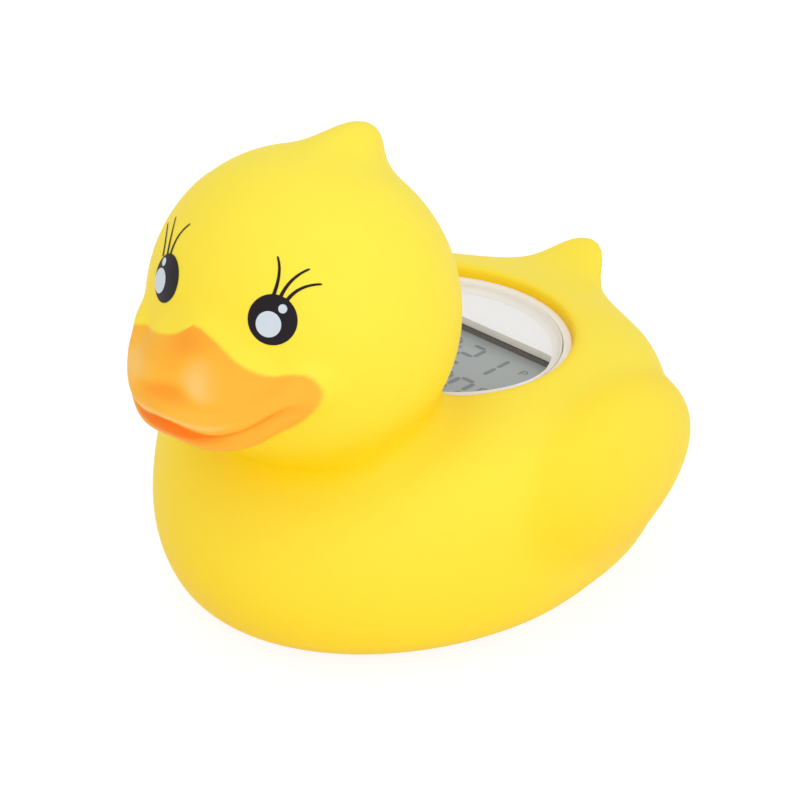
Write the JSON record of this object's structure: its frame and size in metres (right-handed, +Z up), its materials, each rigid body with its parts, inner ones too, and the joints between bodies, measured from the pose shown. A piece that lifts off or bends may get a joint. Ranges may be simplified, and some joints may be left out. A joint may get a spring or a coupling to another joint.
{
  "type": "baby bath thermometer",
  "caption": "Floating duck of soft yellow vinyl with a round digital thermometer module set in its back.",
  "frame": {"origin": "on the floor, under the middle of the whole duck, level with its sole", "axes": "+Z up, the duck faces -Y, its own left side is +X"},
  "size_m": [0.0848, 0.1129, 0.0824],
  "materials": {
    "soft_vinyl": "satin soft vinyl; the bill is sprayed orange",
    "eye_ink": "satin print",
    "glint_ink": "satin print",
    "case_plastic": "smooth satin",
    "clear_plastic": "clear, polished",
    "holder_plastic": "matt",
    "lcd_glass": "polished",
    "soft_rubber": "matt",
    "board_laminate": "solder mask",
    "black_epoxy": "moulded",
    "polished_steel": "polished",
    "spring_brass": "stamped strip"
  },
  "bodies": {
    "root": {"duck_shell": "soft_vinyl", "eye_print_left": "eye_ink", "eye_print_right": "eye_ink", "eye_glint_large_left": "glint_ink", "eye_glint_large_right": "glint_ink", "eye_glint_small_left": "glint_ink", "eye_glint_small_right": "glint_ink", "eyelash_left_1": "eye_ink", "eyelash_left_2": "eye_ink", "eyelash_left_3": "eye_ink", "eyelash_right_1": "eye_ink", "eyelash_right_2": "eye_ink", "eyelash_right_3": "eye_ink", "upper_housing": "case_plastic", "lens_ring": "case_plastic", "display_lens": "clear_plastic", "face_plate": "case_plastic", "lcd_holder": "holder_plastic", "lcd_panel": "lcd_glass", "elastomer_connector_front": "soft_rubber", "elastomer_connector_rear": "soft_rubber", "circuit_board": "board_laminate", "controller_blob": "black_epoxy", "timing_crystal": "polished_steel", "chip_part_1": "holder_plastic", "chip_part_2": "holder_plastic", "chip_part_3": "holder_plastic", "lower_housing": "case_plastic", "housing_seal": "soft_rubber", "battery_door": "case_plastic", "door_seal": "soft_rubber", "door_screw_1": "polished_steel", "door_screw_2": "polished_steel", "coin_cell": "polished_steel", "battery_contact_positive": "spring_brass", "battery_contact_negative": "spring_brass", "battery_lead_positive": "soft_rubber", "battery_lead_negative": "soft_rubber", "probe_cap": "polished_steel", "thermistor": "black_epoxy", "thermistor_lead_left": "polished_steel", "thermistor_lead_right": "polished_steel", "water_contact_left": "polished_steel", "water_contact_right": "polished_steel", "water_contact_lead_left": "polished_steel", "water_contact_lead_right": "polished_steel"}
  },
  "joints": []
}
